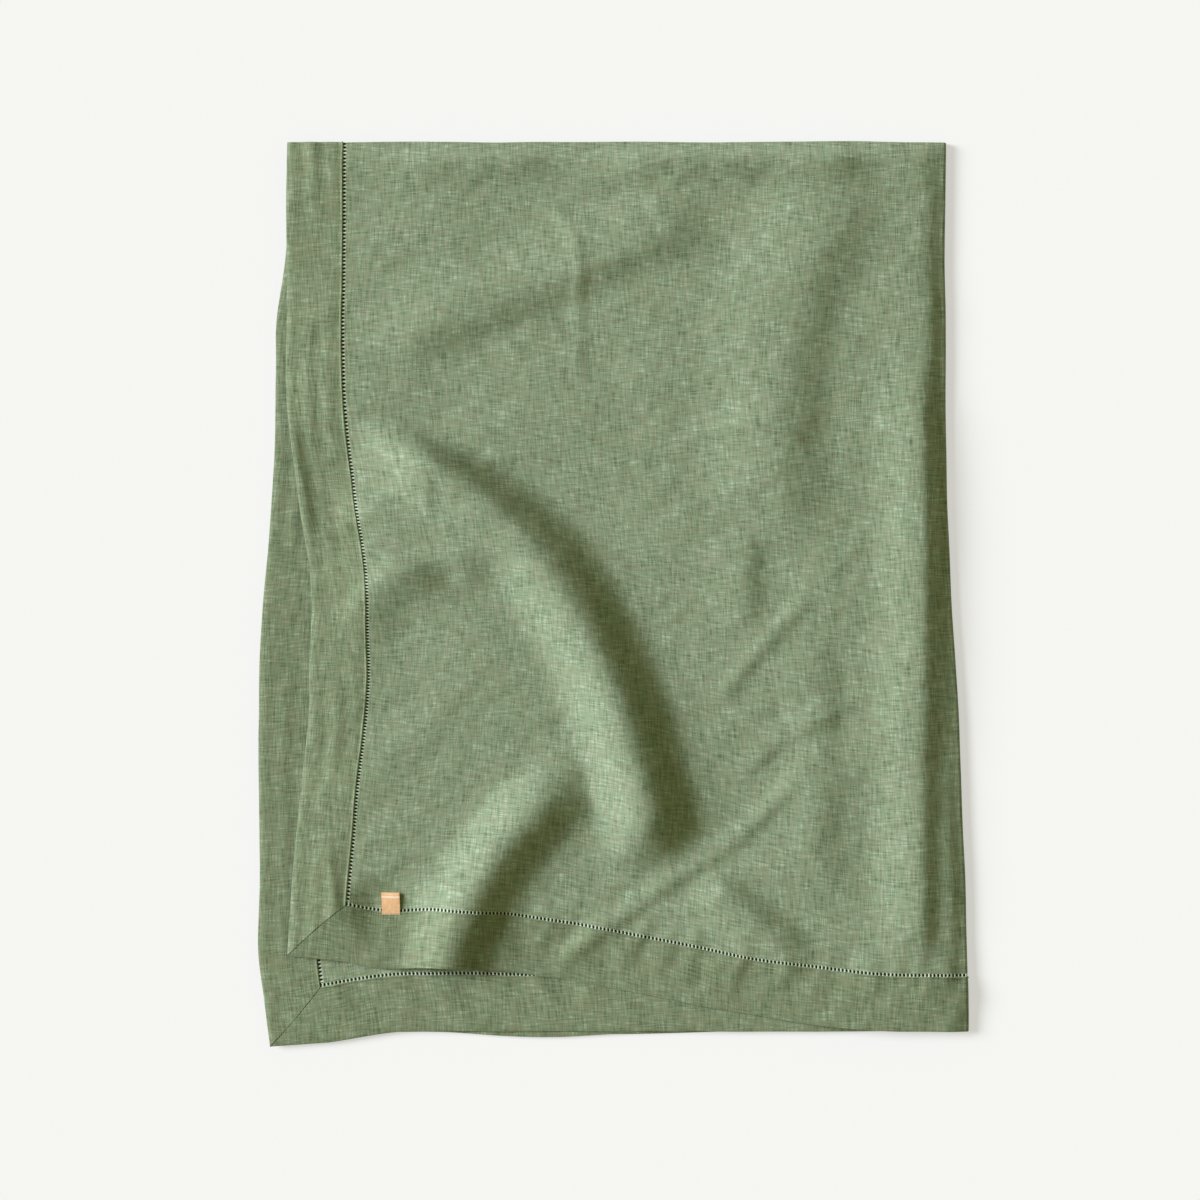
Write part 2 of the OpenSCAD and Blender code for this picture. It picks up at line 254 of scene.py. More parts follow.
# Rucks of the top layer: line, height, reach on the left and right of the line, and where
# along it the height is full. The two big ones are those that the frame has too.
big_rucks = [
    ([(-0.264, 0.172), (-0.092, 0.093), (-0.006, -0.005), (0.0450, -0.280)],
     0.0290, 0.056, 0.058, 0.16, 0.93, 0.48),
    ([(-0.014, -0.1845), (-0.103, -0.2115), (-0.152, -0.2925), (-0.181, -0.414)],
     0.023, 0.050, 0.048, 0.30, 1.0, 1.0),
]
soft_rucks = [
    # from the open side towards the middle of the first fold
    ([(-0.26, 0.245), (-0.13, 0.285), (-0.02, 0.34), (0.10, 0.385)], 0.0075, 0.065, 0.038, 0.20, 0.85),
    # down the second fold, in two lengths
    ([(0.27, 0.42), (0.13, 0.31), (0.165, 0.17), (0.175, 0.03)], 0.0105, 0.064, 0.090, 0.20, 0.75),
    ([(0.305, 0.27), (0.320, 0.05), (0.305, -0.15), (0.31, -0.40)], 0.0095, 0.024, 0.058, 0.20, 0.90),
    ([(0.130, 0.07), (0.135, 0.04), (0.130, 0.0), (0.135, -0.05)], 0.0040, 0.026, 0.050, 0.3, 0.7),
    # creases and a soft rise across the near right quarter
    ([(0.20, -0.165), (0.13, -0.27), (0.03, -0.29), (-0.065, -0.385)], 0.0030, 0.014, 0.016, 0.12, 0.9),
    ([(0.205, 0.005), (0.17, -0.03), (0.13, -0.07), (0.10, -0.115)], 0.0026, 0.014, 0.014, 0.25, 0.75),
    ([(0.085, -0.28), (0.115, -0.31), (0.15, -0.34), (0.21, -0.375)], 0.0090, 0.028, 0.050, 0.3, 0.7),
    ([(0.12, -0.19), (0.16, -0.15), (0.19, -0.13), (0.24, -0.118)], 0.0028, 0.026, 0.014, 0.25, 0.75),
    ([(0.20, -0.03), (0.21, -0.10), (0.20, -0.20), (0.21, -0.32)], 0.0035, 0.034, 0.044, 0.3, 0.7),
    # under the open side's drawn-in middle, above and below the soft swelling
    ([(-0.290, 0.088), (-0.200, 0.090), (-0.155, 0.060), (-0.120, 0.0)], 0.0120, 0.045, 0.036, 0.2, 0.7),
    ([(-0.275, -0.050), (-0.255, 0.010), (-0.215, 0.038), (-0.15, 0.025)], 0.0070, 0.022, 0.055, 0.3, 0.7),
    ([(-0.186, 0.120), (-0.190, 0.105), (-0.189, 0.09), (-0.183, 0.072)], 0.0022, 0.008, 0.010, 0.3, 0.7),
    ([(-0.335, 0.20), (-0.325, 0.14), (-0.315, 0.10), (-0.305, 0.04)], 0.0045, 0.018, 0.014, 0.3, 0.7),
    ([(-0.285, -0.23), (-0.29, -0.27), (-0.285, -0.30), (-0.275, -0.33)], 0.0026, 0.007, 0.010, 0.3, 0.7),
    # pinches and old fold lines in the far half
    ([(-0.135, 0.143), (-0.12, 0.139), (-0.10, 0.143), (-0.075, 0.141)], 0.0020, 0.008, 0.008, 0.4, 0.6),
    ([(0.06, 0.150), (0.10, 0.174), (0.14, 0.174), (0.18, 0.162)], 0.0020, 0.010, 0.010, 0.4, 0.6),
    ([(-0.036, 0.40), (-0.038, 0.33), (-0.035, 0.25), (-0.037, 0.18)], 0.0016, 0.014, 0.010, 0.3, 0.6),
    ([(-0.07, 0.40), (-0.05, 0.385), (-0.04, 0.365), (-0.037, 0.34)], 0.0022, 0.010, 0.010, 0.4, 0.6),
    ([(-0.02, 0.443), (0.08, 0.443), (0.18, 0.443), (0.27, 0.440)], 0.0080, 0.012, 0.034, 0.2, 0.8),
    ([(-0.26, 0.440), (-0.17, 0.441), (-0.11, 0.438), (-0.04, 0.440)], 0.0065, 0.012, 0.034, 0.3, 0.7),
]


def waves(x, y, count, shortest, longest, seed):
    """Small waves in every direction, always the same ones, within about 1 up or down."""
    draw = np.random.default_rng(seed)
    bend_x = x + 0.25 * longest * np.sin(y * 5 / longest)
    bend_y = y + 0.25 * longest * np.sin(x * 4 / longest)
    total = 0
    for _ in range(count):
        length = shortest * (longest / shortest) ** draw.random()
        bearing, phase = draw.random(2) * 2 * np.pi
        travel = bend_x * np.cos(bearing) + bend_y * np.sin(bearing)
        total = total + length / longest * np.sin(2 * np.pi * travel / length + phase)
    return total / math.sqrt(count)


swelling_rise, swelling_at, swelling_reach = 0.007, (-0.231, 0.0315), (0.070, 0.048)
loft_rise, loft_from_edges, loft_from_second, loft_from_first = 0.0035, 0.060, 0.024, 0.020
crumple_floor, small_crumple, broad_crumple, crumple_from_folds = 0.0011, 0.0004, 0.0016, 0.012
label_clear, label_blend = 0.016, 0.035
waver = 0.0011


def off_label(x, y):
    """0 under the label, where the cloth lies flat, and 1 everywhere away from it."""
    return ease((np.hypot(x - label_x, y - label_y) - label_clear) / label_blend)


def top_relief(u, v, x, y):
    """Height that the top layer stands above a perfect fold."""
    total = 0
    for line, rise, left, right, start, finish, narrow in big_rucks:
        total = total + ruck(x, y, line, rise, left, right, start, finish, narrow) ** 2
    swelling = swelling_rise * swell(np.hypot((x - swelling_at[0]) / swelling_reach[0],
                                              (y - swelling_at[1]) / swelling_reach[1]))
    soft = 0
    for line, rise, left, right, start, finish in soft_rucks:
        soft = soft + ruck(x, y, line, rise, left, right, start, finish)
    past_second, past_first = -u - second_turn, -v - first_turn
    in_from_folds = ease(past_second / loft_from_second) * ease(past_first / loft_from_first)
    in_from_edges = ease((half_w + u) / loft_from_edges) * ease((half_l + v) / loft_from_edges)
    loft = loft_rise * in_from_folds * in_from_edges
    crumple = crumple_floor + small_crumple * waves(x, y, 24, 0.020, 0.060, 4)
    crumple = crumple + broad_crumple * (1 + waves(x, y, 14, 0.090, 0.25, 9))
    crumple = (np.maximum(crumple, 0) * ease(past_second / crumple_from_folds)
               * ease(past_first / crumple_from_folds))
    return np.sqrt(total + swelling ** 2) + off_label(x, y) * (soft + loft + crumple)


ripple_rise, ripple_at, ripple_reach, ripple_turn = 0.0012, 0.028, 0.034, 300
pucker_rise, pucker_full, pucker_gather, pucker_clear = 0.00135, 0.045, 0.035, 0.04
rim_rise, rim_w = 0.0012, 0.0040


def edge_ripple(u, v):
    """Ripples along the side borders and puckers gathered by the stitching of the end borders."""
    to_side, to_end = half_w - np.abs(u), half_l - np.abs(v)
    along = swell((to_side - ripple_at) / ripple_reach) * (1 + waves(u, v, 6, 0.08, 0.3, 21)) / 2
    wander = 1.6 * waves(v, v, 5, 0.1, 0.4, 5)
    lengthwise = ripple_rise * along * (1 + np.sin(to_side * ripple_turn + wander))
    gathered = np.where(to_end < border_w, ease(to_end / pucker_full),
                        ease((border_w + pucker_gather - to_end) / pucker_gather))
    across = pucker_rise * gathered * (1 + 1.3 * waves(u, 0.4 * v, 9, 0.020, 0.06, 33))
    rim = rim_rise * ease(to_side / rim_w) * ease(to_end / rim_w)
    return rim + np.maximum(lengthwise, 0) + np.maximum(across, 0) * ease(to_side / pucker_clear)


curl_slope, curl_share, lower_ripple = 0.03, 0.95, 0.65


def curl(u, down):
    """The second layer's open edge curls up where the top layer leaves it bare."""
    bare = np.maximum(top_side(down) - lower_side(down), 0.001)
    return curl_slope * bare * (1 - ease((half_w + u) / (curl_share * bare)))


def lie(u, v, w, t):
    """Where the folded, slipped and rucked cloth puts flat points of a piece of thickness t."""
    x0, y0, _ = fold_up(u, v, 0 * u)
    x, y, z = fold_up(u, v, w)
    under_u = ease((u + second_turn) / (2 * second_turn))
    under_v = ease((v + first_turn) / (2 * first_turn))
    dx, dy = slip(x0, y0, under_v, under_u)
    down = np.clip(0.5 - y0 / cloth_l * 2, 0, 1)
    on_top = (1 - under_u) * (1 - under_v)
    free = off_label(x0 + dx, y0 + dy)
    dx = dx + waver * free * waves(u, v, 9, 0.07, 0.30, 41)
    dy = dy + waver * free * waves(u, v, 9, 0.07, 0.30, 42)
    z = (z + under_u * (t - linen_t) / 2 + on_top * top_relief(u, v, x0 + dx, y0 + dy)
         + (1 - under_u) * under_v * curl(u, down)
         + by_layer([free, lower_ripple * free, 0.0, 0.0], under_v, under_u) * edge_ripple(u, v))
    return np.stack([x + dx, y + dy, z], -1)


def cloth_mesh(name, points, faces, flat, finish, sharp=()):
    """A piece of cloth as a smooth mesh that keeps, on every point, its flat place in metres.
    The edges round the faces numbered in `sharp` are crisp."""
    mesh = bpy.data.meshes.new(name)
    mesh.from_pydata(points.tolist(), [], faces)
    mesh.polygons.foreach_set("use_smooth", np.ones(len(mesh.polygons), bool))
    crisp = np.zeros(len(mesh.edges), bool)
    of_loop = np.zeros(len(mesh.loops), np.int32)
    mesh.loops.foreach_get("edge_index", of_loop)
    for number in sharp:
        face = mesh.polygons[number]
        crisp[of_loop[face.loop_start:face.loop_start + face.loop_total]] = True
    mesh.edges.foreach_set("use_edge_sharp", crisp)
    kept = mesh.attributes.new("flat", "FLOAT_VECTOR", "POINT")
    kept.data.foreach_set("vector", flat.astype(np.float32).ravel())
    mesh.materials.append(finish)
    mesh.update()
    made = bpy.data.objects.new(name, mesh)
    bpy.context.collection.objects.link(made)
    return made


def cloth_lines(edge, turn, top_cells, turn_cells, low_cells):
    """Grid lines across the cloth: close over the top layer, open over the lower ones."""
    return np.concatenate([
        np.linspace(-edge, -turn, top_cells + 1)[:-1],
        np.linspace(-turn, turn, turn_cells + 1)[:-1],
        np.linspace(turn, edge, low_cells + 1)])


class Wire:
    """One value in a material. Sums written with it add the nodes that work them out."""

    def __init__(self, tree, socket=None):
        self.tree, self.socket = tree, socket

    def node(self, kind, settings=None, inputs=None, output=0):
        made = self.tree.nodes.new(kind)
        for name, value in (settings or {}).items():
            if name == "stops":
                ramp = made.color_ramp
                while len(ramp.elements) < len(value):
                    ramp.elements.new(0.5)
                for stop, (place, colour) in zip(ramp.elements, value):
                    stop.position, stop.color = place, (*colour, 1)
            else:
                setattr(made, name, value)
        for name, value in (inputs or {}).items():
            if isinstance(value, Wire):
                self.tree.links.new(value.socket, made.inputs[name])
            else:
                made.inputs[name].default_value = value
        return Wire(self.tree, made.outputs[output])

    def maths(self, operation, first, second=None):
        inputs = {0: first} if second is None else {0: first, 1: second}
        return self.node("ShaderNodeMath", {"operation": operation}, inputs)

    def __add__(self, other):
        return self.maths("ADD", self, other)

    def __radd__(self, other):
        return self.maths("ADD", other, self)

    def __sub__(self, other):
        return self.maths("SUBTRACT", self, other)

    def __rsub__(self, other):
        return self.maths("SUBTRACT", other, self)

    def __mul__(self, other):
        return self.maths("MULTIPLY", self, other)

    def __rmul__(self, other):
        return self.maths("MULTIPLY", other, self)

    def between(self, low, high):
        """0 below low, 1 above high and even in between."""
        return self.node("ShaderNodeMapRange", {"interpolation_type": "SMOOTHSTEP"},
                         {"Value": self, "From Min": low, "From Max": high})

    def tint(self, first, second):
        """The first colour where this is 0 and the second where it is 1."""
        return self.node("ShaderNodeMix", {"data_type": "RGBA"}, {0: self, 6: first, 7: second}, 2)


def flat_axes(place):
    """The two flat coordinates of the cloth, across it and along it."""
    split = place.node("ShaderNodeSeparateXYZ", None, {0: place})
    return [Wire(place.tree, split.socket.node.outputs[axis]) for axis in ("X", "Y")]


def new_finish(name, roughness, sheen, sheen_tint):
    """A plain matt finish: its material, its shader and the flat place on the cloth."""
    made = bpy.data.materials.new(name)
    made.use_nodes = True
    tree = made.node_tree
    shader = tree.nodes["Principled BSDF"]
    shader.inputs["Roughness"].default_value = roughness
    shader.inputs["Specular IOR Level"].default_value = 0.2
    shader.inputs["Sheen Weight"].default_value = sheen
    shader.inputs["Sheen Roughness"].default_value = 0.45
    shader.inputs["Sheen Tint"].default_value = (*sheen_tint, 1)
    place = Wire(tree).node("ShaderNodeAttribute", {"attribute_name": "flat"}, output="Vector")
    return made, shader, place


def yarn(along, across, pitch, run):
    """Each yarn's own tone: it changes over about `run` metres along the yarn and jumps from one
    yarn to the next, `pitch` metres away."""
    number = along.maths("FLOOR", across * (1 / pitch))
    start = number.node("ShaderNodeTexWhiteNoise", {"noise_dimensions": "1D"}, {"W": number})
    return number.node("ShaderNodeTexNoise", {"noise_dimensions": "1D"},
                       {"W": along * (1 / run) + start * 900, "Scale": 1, "Detail": 1.0,
                        "Roughness": 0.5})


def cloudy(place, size, detail=2.0):
    return place.node("ShaderNodeTexNoise", None,
                      {"Vector": place, "Scale": 1 / size, "Detail": detail, "Roughness": 0.55})


weft_pitch, warp_pitch, thick_weft_pitch, thick_warp_pitch = 0.00112, 0.00104, 0.0026, 0.0024


def linen(name, dark, green, pale, taupe, lengthwise):
    """Washed flax: uneven yarns both ways, slubs, taupe fibre left in them and a soft crumple.
    `lengthwise` is how much stronger the yarns along the cloth show than those across it."""
    made, shader, place = new_finish(name, 0.9, 0.22, (0.80, 0.90, 0.74))
    u, v = flat_axes(place)
    weft = yarn(u, v, weft_pitch, 0.022).between(0.28, 0.72)
    warp = yarn(v, u, warp_pitch, 0.028).between(0.28, 0.72)
    thick_weft = yarn(u, v, thick_weft_pitch, 0.050).between(0.34, 0.66)
    thick_warp = yarn(v, u, thick_warp_pitch, 0.060).between(0.34, 0.66)
    fibre = cloudy(place, 0.0007, 1.0).between(0.3, 0.7)
    patch = cloudy(place, 0.06)
    tone = (0.055 + 0.32 * weft + 0.32 * lengthwise * warp + 0.030 * thick_weft
            + 0.035 * lengthwise * thick_warp + 0.08 * fibre + 0.08 * patch)
    tone = tone - 0.18 * (lengthwise - 1)
    colour = tone.node("ShaderNodeValToRGB", {"stops": [
        (0.08, dark), (0.45, green), (0.58, green), (0.94, pale)]}, {0: tone})
    raw = (0.5 * thick_warp + 0.3 * warp + 0.2 * patch - 0.5 * thick_weft).between(0.12, 0.50)
    colour = (0.34 * raw).tint(colour, (*taupe, 1))
    shader.id_data.links.new(colour.socket, shader.inputs["Base Color"])
    height = 0.3 * weft + 0.3 * warp + 0.1 * fibre + 0.14 * cloudy(place, 0.006)
    bump = place.node("ShaderNodeBump", None, {"Height": height, "Strength": 0.5, "Distance": 0.0010})
    shader.id_data.links.new(bump.socket, shader.inputs["Normal"])
    return made


linen_finish = linen("sage_linen", (0.085, 0.114, 0.054), (0.226, 0.299, 0.185),
                     (0.50, 0.60, 0.455), (0.270, 0.270, 0.170), 1.0)


def grid_faces(n, m, flip=False):
    """Quads of an n by m grid of points."""
    i, j = np.meshgrid(np.arange(n - 1), np.arange(m - 1), indexing="ij")
    a = (i * m + j).ravel()
    quads = np.stack([a, a + m, a + m + 1, a + 1], -1)
    return quads[:, ::-1] if flip else quads


def rim_faces(n, m):
    """The strip that closes the edge between two n by m grids of points, one after the other."""
    rim = np.concatenate([np.arange(n) * m, (n - 1) * m + np.arange(1, m),
                          np.arange(n - 2, -1, -1) * m + m - 1, np.arange(m - 2, -1, -1)])
    return np.stack([rim[:-1], rim[:-1] + n * m, rim[1:] + n * m, rim[1:]], -1)


def shell(us, vs, t):
    """Both faces of a flat grid of cloth and the strip that closes its edge."""
    n, m = len(us), len(vs)
    u, v = (g.ravel() for g in np.meshgrid(us, vs, indexing="ij"))
    points = np.concatenate([lie(u, v, 0 * u + t / 2, t), lie(u, v, 0 * u - t / 2, t)])
    flat = np.concatenate([np.stack([u, v, 0 * u], -1), np.stack([u, v, 0 * u - t], -1)])
    sides, edge = [grid_faces(n, m), grid_faces(n, m, True) + n * m], rim_faces(n, m)
    inner = len(sides[0]) * 2
    return points, np.concatenate([*sides, edge]).tolist(), flat, range(inner, inner + len(edge))


panel_us = cloth_lines(panel_u, second_turn, 146, 8, 22)
panel_vs = cloth_lines(panel_v, first_turn, 192, 8, 40)
points, faces, flat, rim = shell(panel_us, panel_vs, linen_t)
panel = cloth_mesh("linen_sheet", points, faces, flat, linen_finish, rim)
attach(panel, "cloth")
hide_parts("linen_panel")

# ---------------------------------------------------------------------------------------------
# Borders: four strips of the same linen, doubled, mitred at both ends and turned in along the
# ladder, where the turned edge stands up as a small bead. Their outer edge is a soft fold.
border_finish = linen("sage_border_linen", (0.082, 0.108, 0.050), (0.188, 0.248, 0.143),
                      (0.40, 0.49, 0.345), (0.235, 0.23, 0.14), 1.10)
seam_w = 0.0008
seam_gap = seam_w / math.sqrt(2)
bead_w, bead_h, pressed_bead_h = 0.0022, 0.0006, 0.0002
border_us = cloth_lines(panel_u, second_turn, 146, 8, 120)
border_vs = cloth_lines(panel_v, first_turn, 192, 8, 150)


def border_profile():
    """The strip's section as (distance out from the ladder, height): over the top, round the
    outer fold, back underneath and up round the turned-in edge."""
    r = border_t / 2
    over = [(0.0, 0.0), (0.00012, 0.55 * r), (0.0005, r + 0.7 * bead_h), (0.0010, r + bead_h),
            (0.0016, r + 0.75 * bead_h), (bead_w, r - 0.0001), (bead_w + 0.0006, r - 0.0002),
            (0.0050, r)]
    over += [(d, r) for d in np.linspace(0.009, border_w - 0.004, 12)]
    turn = [(border_w - r + r * math.cos(a), r * math.sin(a))
            for a in np.radians([80, 55, 28, 0, -28, -55, -80])]
    back = [(d, h * -1) for d, h in over[::-1]]
    return np.array(over + turn + back[:-1])


def stacked(n, m):
    """Faces that close a row of n rings of m points each into one solid, its two ends last."""
    i, j = np.meshgrid(np.arange(n - 1), np.arange(m), indexing="ij")
    a, b = (i * m + j).ravel(), (i * m + (j + 1) % m).ravel()
    return np.stack([a, a + m, b + m, b], -1).tolist() + [
        list(range(m))[::-1], list(range((n - 1) * m, n * m))]


def border(name, node, inner, half_end, lines, cross, sign):
    """One border: its section swept along the cloth's edge, with slanting mitred ends."""
    section = border_profile()
    out = section[:, 0]
    reach = half_end - seam_gap - (border_w - out)
    runs = [-reach] + [np.full(len(out), s) for s in lines] + [reach]
    run = np.concatenate(runs)
    side = np.tile(sign * (inner + out), len(runs))
    w = np.tile(section[:, 1], len(runs))
    u, v = (run, side) if cross else (side, run)
    highest = border_t / 2 + by_layer([bead_h, bead_h, pressed_bead_h, pressed_bead_h], v > 0, u > 0)
    w = np.clip(w, -highest, highest)
    faces = stacked(len(runs), len(out))
    if cross != (sign > 0):
        faces = [f[::-1] for f in faces]
    ends = (len(faces) - 2, len(faces) - 1)
    made = cloth_mesh(name, lie(u, v, w, border_t), faces, np.stack([u, v, w], -1), border_finish, ends)
    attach(made, "cloth")
    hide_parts(node)


border("near_border", "border_near", border_v, half_w, border_us, True, -1)
border("far_border", "border_far", border_v, half_w, border_us, True, 1)
border("left_border", "border_left", border_u, half_l, border_vs, False, -1)
border("right_border", "border_right", border_u, half_l, border_vs, False, 1)

# ---------------------------------------------------------------------------------------------
# Hemstitch: the threads left in the drawn-out band, wrapped with sewing thread into bars that
# are pinched at the waist, so that a round hole shows dark between each bar and the next. Behind
# the bars lies a near-black strip of painted shade, standing for the shadowed gap between layers.
bar_pitch, waist_w, bar_t = 0.00386, 0.0016, 0.0008
shade_strip_w, shade_strip_t = 0.0026, 0.0001
bar_grip = 0.0006


def thread(name, colour, deep):
    """Matt sewing thread, laid in fine plies, a little darker here and there. The same finish, made
    near-black, is the painted shade behind the hemstitch bars.
    """
    made, shader, place = new_finish(name, 0.8, 0.3, (0.9, 0.95, 0.85))
    plies = cloudy(place, 0.0006, 2.0)
    worn = cloudy(place, 0.012, 2.0)
    tone = (0.6 * plies + 0.4 * worn).between(0.35, 0.62)
    shader.id_data.links.new(tone.tint((*deep, 1), (*colour, 1)).socket, shader.inputs["Base Color"])
    bump = place.node("ShaderNodeBump", None, {"Height": plies, "Strength": 0.5, "Distance": 0.0003})
    shader.id_data.links.new(bump.socket, shader.inputs["Normal"])
    return made


bar_finish = thread("pale_sewing_thread", (0.55, 0.64, 0.48), (0.34, 0.42, 0.28))
# Painted shade: a near-black strip under the bars stands for the shadowed gap between the layers that the
# holes look into.
painted_shade_finish = thread("painted_shade_gap", (0.010, 0.012, 0.008), (0.006, 0.007, 0.005))


def hemstitch(name, node, inner, half_run, cross, sign):
    """One row of bars between the panel and a border, over a near-black strip of painted shade that stands
    for the dark gap behind them.
    """
    count = int(2 * half_run / bar_pitch)
    places = (np.arange(count) + 0.5 - count / 2) * (2 * half_run / count)
    share = np.array([0.0, 0.2, 0.5, 0.8, 1.0])
    wide = np.array([0.95 * bar_pitch, 0.62 * bar_pitch, waist_w, 0.62 * bar_pitch, 0.95 * bar_pitch])
    high = np.array([0.5, 0.9, 1.0, 0.9, 0.5]) * bar_t
    ring = np.array([(-0.5, 0), (-0.28, 0.45), (0.28, 0.45), (0.5, 0), (0.28, -0.45), (-0.28, -0.45)])
    out = inner - bar_grip + share * (ladder_w + 2 * bar_grip)
    run = places[:, None, None] + wide[:, None] * ring[:, 0]
    side = np.broadcast_to(sign * out[:, None], run.shape)
    w = np.broadcast_to(high[:, None] * ring[:, 1], run.shape)
    shape = stacked(len(share), len(ring))
    step = len(share) * len(ring)
    faces = [[p + k * step for p in face] for k in range(count) for face in shape]
    ends = [k * len(shape) + len(shape) - e for k in range(count) for e in (1, 2)]
    run, side, w = run.ravel(), side.ravel(), w.ravel()
    # The near-black strip of painted shade that shows through the holes between the bars.
    strip_runs = np.linspace(-half_run, half_run, 2 * count + 1)
    middle = inner + ladder_w / 2
    corner = np.array([(-shade_strip_w / 2, shade_strip_t / 2), (shade_strip_w / 2, shade_strip_t / 2),
                       (shade_strip_w / 2, -shade_strip_t / 2), (-shade_strip_w / 2, -shade_strip_t / 2)])
    strip = stacked(len(strip_runs), 4)
    base = len(run)
    faces += [[p + base for p in face] for face in strip]
    run = np.concatenate([run, np.repeat(strip_runs, 4)])
    side = np.concatenate([side, np.tile(sign * (middle + corner[:, 0]), len(strip_runs))])
    w = np.concatenate([w, np.tile(corner[:, 1], len(strip_runs))])
    ends += list(range(len(faces) - len(strip), len(faces)))
    if cross == (sign > 0):
        faces = [f[::-1] for f in faces]
    u, v = (run, side) if cross else (side, run)
    edge = np.clip((np.abs(side) - inner) / ladder_w, 0, 1)
    made = cloth_mesh(name, lie(u, v, w, mix(linen_t, border_t, edge)), faces,
                      np.stack([u, v, w], -1), bar_finish, ends)
    made.data.materials.append(painted_shade_finish)
    finish = np.zeros(len(faces), np.int32)
    finish[-len(strip):] = 1
    made.data.polygons.foreach_set("material_index", finish)
    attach(made, "cloth")
    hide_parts(node)
    return made


hemstitches = [
    hemstitch("near_hemstitch", "hemstitch_near", panel_v, border_u - seam_gap, True, -1),
    hemstitch("far_hemstitch", "hemstitch_far", panel_v, border_u - seam_gap, True, 1),
    hemstitch("left_hemstitch", "hemstitch_left", panel_u, panel_v, False, -1),
    hemstitch("right_hemstitch", "hemstitch_right", panel_u, panel_v, False, 1),
]

# ---------------------------------------------------------------------------------------------
# Mitre seams: at each corner the two borders' turned-in ends meet in a fine groove, drawn
# together by small slip stitches of the same green thread.
groove_t = 0.0007
slip_pitch, slip_l, slip_d = 0.0034, 0.0022, 0.00045
groove_finish = thread("deep_seam_thread", (0.060, 0.070, 0.035), (0.030, 0.036, 0.018))
slip_finish = thread("green_sewing_thread", (0.24, 0.30, 0.18), (0.15, 0.19, 0.11))


def mitre(name, node, su, sv):
    """One corner's seam: the sunk web between two borders' ends and the stitches across it."""
    length = border_w * math.sqrt(2)
    along = np.linspace(0.0002, length - 0.0002, 24)
    half = seam_w / 2 + 0.0001
    ring = [(-half, groove_t / 2), (half, groove_t / 2), (half, -groove_t / 2), (-half, -groove_t / 2)]
    rows = [(s, q, w) for s in along for q, w in ring]
    faces = stacked(len(along), 4)
    web = len(faces)
    bow = [(-0.5, -0.2), (-0.3, 0.7), (0.0, 1.0), (0.3, 0.7), (0.5, -0.2)]
    round_it = [(math.cos(a), math.sin(a)) for a in np.radians([0, 90, 180, 270])]
    for s in np.arange(slip_pitch, length - slip_pitch / 2, slip_pitch):
        for face in (1, -1):
            base = len(rows)
            rows += [(s + slip_d / 2 * c + 0.3 * slip_l * q, slip_l * q,
                      face * (border_t / 2 + slip_d / 2 * (h - 0.6 + k)))
                     for q, h in bow for c, k in round_it]
            shape = [[p + base for p in f] for f in stacked(len(bow), 4)]
            faces += shape if face > 0 else [f[::-1] for f in shape]
    s, q, w = np.array(rows).T
    u = su * (half_w - (s + q) / math.sqrt(2))
    v = sv * (half_l - (s - q) / math.sqrt(2))
    if su * sv > 0:
        faces = [f[::-1] for f in faces]
    made = cloth_mesh(name, lie(u, v, w, border_t), faces, np.stack([u, v, w], -1), groove_finish,
                      range(web))
    made.data.materials.append(slip_finish)
    finish = np.ones(len(faces), np.int32)
    finish[:web] = 0
    made.data.polygons.foreach_set("material_index", finish)
    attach(made, "cloth")
    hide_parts(node)
    return made


mitres = [
    mitre("near_left_mitre", "mitre_near_left", -1, -1),
    mitre("near_right_mitre", "mitre_near_right", 1, -1),
    mitre("far_left_mitre", "mitre_far_left", -1, 1),
    mitre("far_right_mitre", "mitre_far_right", 1, 1),
]

# ---------------------------------------------------------------------------------------------
# Label: a short length of natural cotton tape, folded in half into a tab and caught by its raw
# ends in the border's edge. It lies back on the panel.
flap_low, flap_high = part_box("label_flap")
tape_t = 0.00035
tape_w = flap_high.x - flap_low.x
loop_r = (flap_high.z - flap_low.z - tape_t) / 2
tape_steps_w = 14
loop_opens = 0.004
twill_turn = 7000
stripe_at, stripe_w = 0.0045, 0.0005
flap_lift, flap_wave, flap_wave_turn, flap_skew, flap_free = 0.0016, 0.0004, 260, 0.0006, 0.02


def tape(name, warm, deep, pale):
    """Cotton tape: a fine twill with firmer selvedges and one plain pale stripe near its fold."""
    made, shader, place = new_finish(name, 0.85, 0.2, (1.0, 0.92, 0.8))
    across, along = flat_axes(place)
    ribs = 0.5 + 0.5 * across.maths("SINE", (across + along) * twill_turn)
    soft = cloudy(place, 0.004, 3.0)
    tone = (0.35 * ribs + 0.65 * soft).between(0.25, 0.75)
    colour = tone.tint((*deep, 1), (*warm, 1))
    edge = across.maths("ABSOLUTE", across)
    selvedge = edge.between(0.43 * tape_w, 0.47 * tape_w)
    colour = (0.55 * selvedge).tint(colour, (*deep, 1))
    from_middle = along.maths("ABSOLUTE", along.maths("ABSOLUTE", along) - stripe_at)
    stripe = 1 - from_middle.between(stripe_w, 1.8 * stripe_w)
    colour = (0.65 * stripe).tint(colour, (*pale, 1))
    shader.id_data.links.new(colour.socket, shader.inputs["Base Color"])
    bump = place.node("ShaderNodeBump", None,
                      {"Height": ribs + 0.6 * soft, "Strength": 0.5, "Distance": 0.0002})
    shader.id_data.links.new(bump.socket, shader.inputs["Normal"])
    return made


tape_finish = tape("cotton_tape", (0.90, 0.60, 0.36), (0.72, 0.42, 0.20), (0.95, 0.86, 0.74))


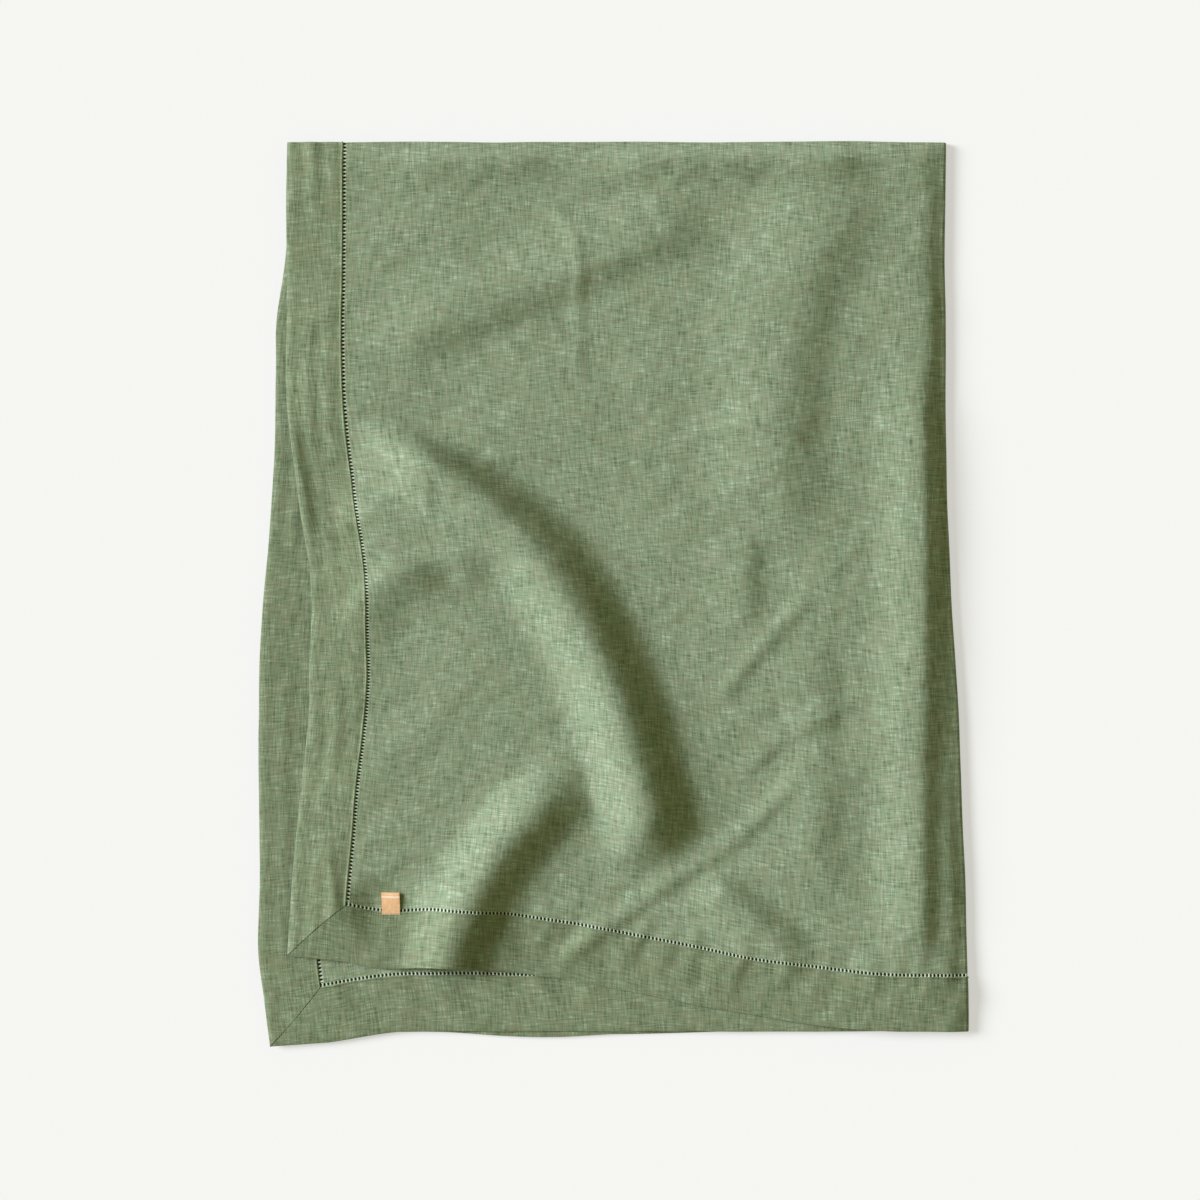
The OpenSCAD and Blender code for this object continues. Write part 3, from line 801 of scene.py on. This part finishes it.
def tape_path():
    """The tape's middle line as (y, z), from one raw end round the fold to the other."""
    sewn_y, fold_y = label_low.y, flap_high.y - tape_t / 2 - loop_r
    low_z, high_z = flap_low.z + tape_t / 2, flap_high.z - tape_t / 2
    pressed = [label_low.z + tape_t / 2, label_low.z + 1.5 * tape_t]
    ys = np.linspace(label_y, fold_y, 9)
    rise = ease((ys - label_y) / loop_opens)
    under = [(sewn_y, pressed[0])] + list(zip(ys, mix(pressed[0], low_z, rise)))
    over = [(sewn_y, pressed[1])] + list(zip(ys, mix(pressed[1], high_z, rise)))
    turn = [(fold_y + loop_r * math.sin(a), (low_z + high_z) / 2 - loop_r * math.cos(a))
            for a in np.linspace(0, math.pi, 9)[1:-1]]
    return np.array(under + turn + over[::-1])


def label_tab():
    """The tape swept along its path, both faces and all four edges."""
    path = tape_path()
    step = np.gradient(path, axis=0)
    step /= np.linalg.norm(step, axis=1)[:, None]
    normal = np.stack([step[:, 1], -step[:, 0]], -1)
    travel = np.concatenate([[0], np.cumsum(np.linalg.norm(np.diff(path, axis=0), axis=1))])
    travel -= travel[-1] / 2
    across = np.linspace(-tape_w / 2, tape_w / 2, tape_steps_w + 1)
    points, flat = [], []
    for face in (1, -1):
        for x in across:
            y, z = (path + normal * face * tape_t / 2).T
            free = ease((y - label_y) / flap_free)
            corner = ease((x / tape_w + 0.5) * 1.1)
            lift = free * (flap_lift * corner + flap_wave * np.sin(y * flap_wave_turn))
            points.append(np.stack([0 * y + label_x + x - flap_skew * free, y, z + lift], -1))
            flat.append(np.stack([0 * y + x, travel, 0 * y + face], -1))
    n, m = len(across), len(path)
    edge = rim_faces(n, m)
    faces = np.concatenate([grid_faces(n, m), grid_faces(n, m, True) + n * m, edge])
    sides = 2 * (n - 1) * (m - 1)
    return (np.concatenate(points), faces.tolist(), np.concatenate(flat),
            range(sides, sides + len(edge)), float(travel[-1] - travel[0]))


points, faces, flat, rim, tape_l = label_tab()
label = cloth_mesh("tape_label", points, faces, flat, tape_finish, rim)
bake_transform(label)
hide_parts("label_flap", "label_sewn_end")

# ---------------------------------------------------------------------------------------------
# Label stitches: a short line of machine stitches over the tape's raw ends.
stitch_low, stitch_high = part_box("label_stitches")
stitch_count, stitch_share, stitch_rise = 7, 0.7, 0.0003


def label_stitching():
    """The stitches in one row, each a short bowed length of thread."""
    pitch = tape_w / stitch_count
    bow = [(-0.5, 0.0), (-0.3, 0.8), (0.0, 1.0), (0.3, 0.8), (0.5, 0.0)]
    girth = [(math.cos(a), math.sin(a)) for a in np.radians(range(0, 360, 60))]
    middle_y = (stitch_low.y + stitch_high.y) / 2
    half_d = (stitch_high.y - stitch_low.y) / 2
    rows, faces = [], []
    for k in range(stitch_count):
        base = len(rows)
        x0 = label_x + (k + 0.5 - stitch_count / 2) * pitch
        rows += [(x0 + q * pitch * stitch_share, middle_y + half_d * c,
                  stitch_low.z + stitch_rise * (h - 0.4) + half_d * s)
                 for q, h in bow for c, s in girth]
        faces += [[p + base for p in f][::-1] for f in stacked(len(bow), len(girth))]
    points = np.array(rows)
    return cloth_mesh("label_stitching", points, faces, points, slip_finish)


stitches = label_stitching()
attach(stitches, "cloth")
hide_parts("label_stitches")

2 * panel_u
2 * panel_v
